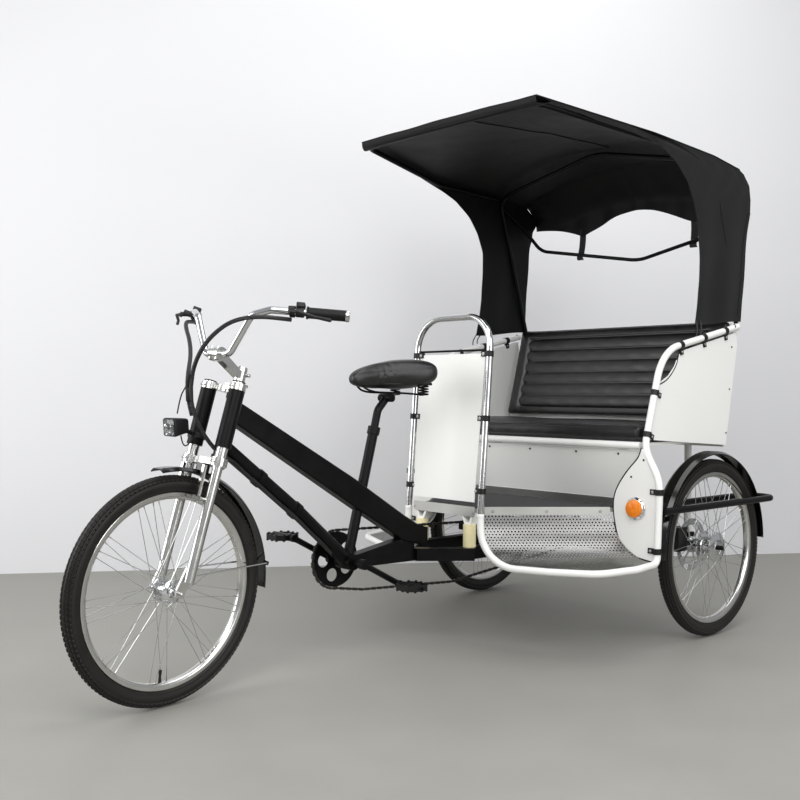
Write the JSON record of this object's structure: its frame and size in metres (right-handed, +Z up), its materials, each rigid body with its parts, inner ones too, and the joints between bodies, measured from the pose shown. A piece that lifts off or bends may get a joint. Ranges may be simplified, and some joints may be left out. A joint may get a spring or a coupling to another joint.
{
  "type": "cycle rickshaw",
  "caption": "Pedal rickshaw: one steered front wheel and a driver's saddle ahead of a padded passenger bench with side steps and a fabric hood over two rear wheels.",
  "frame": {"origin": "on the ground at the middle of the footprint, half way between the front tyre's front and the rearmost point", "axes": "+X forward towards the steered wheel, +Y to the driver's left, +Z up"},
  "size_m": [2.7076, 1.331, 1.945],
  "materials": {
    "tyre_rubber": "matt",
    "rim_steel": "polished",
    "hub_steel": "polished",
    "fork_metal": "polished",
    "bar_chrome": "polished",
    "black_plastic": "matt",
    "grip_rubber": "matt",
    "black_gloss": "gloss",
    "black_paint": "satin",
    "post_metal": "satin",
    "chain_steel": "oiled",
    "saddle_vinyl": "satin",
    "mount_rubber": "matt",
    "white_paint": "gloss",
    "hoop_steel": "polished",
    "strip_aluminium": "brushed",
    "floor_wood": "painted",
    "mat_rubber": "matt",
    "amber_lens": "gloss",
    "hood_fabric": "matt"
  },
  "bodies": {
    "chassis": {"cable_lower": "grip_rubber", "fenders_rear": "black_gloss", "main_beam": "black_paint", "head_tube": "black_paint", "down_tube": "black_paint", "seat_tube": "black_paint", "chassis_spine": "black_paint", "chassis_rails": "black_paint", "rear_axle": "black_paint", "calipers": "black_paint", "hood_frame": "black_paint", "wheel_guards": "black_paint", "crossbar": "black_paint", "seat_post": "post_metal", "chain": "chain_steel", "saddle": "saddle_vinyl", "seat_cushion": "saddle_vinyl", "backrest": "saddle_vinyl", "rubber_mounts": "mount_rubber", "mount_brackets": "white_paint", "cabin_tubes": "white_paint", "hoop_panel": "white_paint", "wings": "white_paint", "side_walls": "white_paint", "seat_front": "white_paint", "seat_frame": "white_paint", "rear_panel": "white_paint", "hoop": "hoop_steel", "floor_edges": "strip_aluminium", "steps": "strip_aluminium", "floor_board": "floor_wood", "floor_mat": "mat_rubber", "wing_lamps": "amber_lens", "hood_cloth": "hood_fabric"},
    "steering": {"fork": "fork_metal", "fork_sleeves": "black_plastic", "stem": "fork_metal", "handlebar": "bar_chrome", "grips": "grip_rubber", "bar_controls": "black_plastic", "headlight": "black_plastic", "fender_front": "black_gloss", "brake_arms": "fork_metal", "cable_upper": "grip_rubber", "cable_right": "grip_rubber"},
    "front_wheel": {"tyre_front": "tyre_rubber", "rim_front": "rim_steel", "hub_front": "hub_steel"},
    "rear_wheel_left": {"tyre_rear_left": "tyre_rubber", "rim_rear_left": "rim_steel", "hub_rear_left": "hub_steel"},
    "rear_wheel_right": {"tyre_rear_right": "tyre_rubber", "rim_rear_right": "rim_steel", "hub_rear_right": "hub_steel"},
    "cranks": {"crankset": "post_metal"},
    "left_pedal": {"pedal_left": "black_plastic"},
    "right_pedal": {"pedal_right": "black_plastic"}
  },
  "joints": [
    {"name": "steering_turn", "type": "hinge", "parent": "chassis", "child": "steering", "pos_m": [0.78672, 0, 0.9], "axis": [-0.279, 0, 0.9603], "range_deg": [-50.8, 39.2]},
    {"name": "front_wheel_spin", "type": "hinge", "parent": "steering", "child": "front_wheel", "pos_m": [1.02138, 0.00682, 0.3329], "axis": [-0.097, 0.9949, -0.0282], "continuous": true},
    {"name": "rear_left_spin", "type": "hinge", "parent": "chassis", "child": "rear_wheel_left", "pos_m": [-0.95628, 0.5805, 0.333], "axis": [0, 1, 0], "continuous": true},
    {"name": "rear_right_spin", "type": "hinge", "parent": "chassis", "child": "rear_wheel_right", "pos_m": [-0.95628, -0.5805, 0.333], "axis": [0, 1, 0], "continuous": true},
    {"name": "crank_turn", "type": "hinge", "parent": "chassis", "child": "cranks", "pos_m": [0.34372, 0, 0.343], "axis": [0, 1, 0], "continuous": true},
    {"name": "left_pedal_spin", "type": "hinge", "parent": "cranks", "child": "left_pedal", "pos_m": [0.19185, 0.155, 0.26225], "axis": [0, 1, 0], "continuous": true},
    {"name": "right_pedal_spin", "type": "hinge", "parent": "cranks", "child": "right_pedal", "pos_m": [0.49558, -0.155, 0.42375], "axis": [0, 1, 0], "continuous": true}
  ]
}
